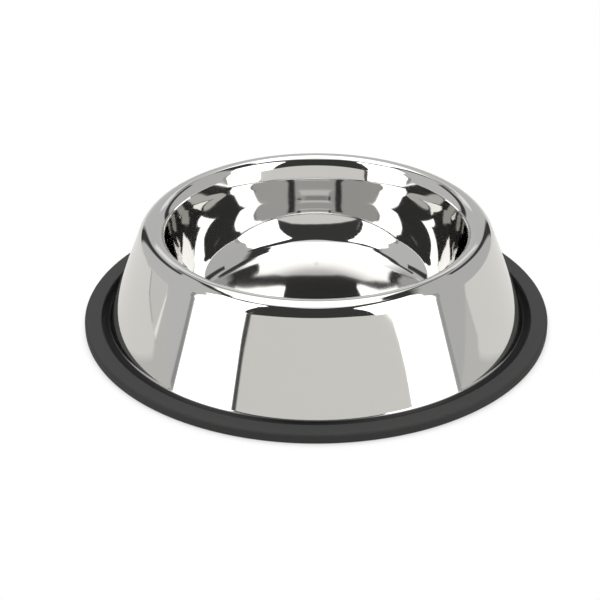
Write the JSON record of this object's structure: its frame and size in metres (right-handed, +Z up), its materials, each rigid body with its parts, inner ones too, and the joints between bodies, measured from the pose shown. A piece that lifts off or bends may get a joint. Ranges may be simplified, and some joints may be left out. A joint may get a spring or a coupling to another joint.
{
  "type": "dog bowl",
  "caption": "Round polished steel feeding bowl with a rolled rim, sloping hollow skirt and a black rubber ring around its foot.",
  "frame": {"origin": "on the table, under the middle of the bowl", "axes": "+Z up, along the bowl's axis; +X and +Y level, with +Y away from the picture's camera"},
  "size_m": [0.25, 0.25, 0.057],
  "materials": {
    "polished_steel": "polished",
    "black_rubber": "matte"
  },
  "bodies": {
    "root": {"steel_bowl": "polished_steel", "rubber_ring": "black_rubber"}
  },
  "joints": []
}
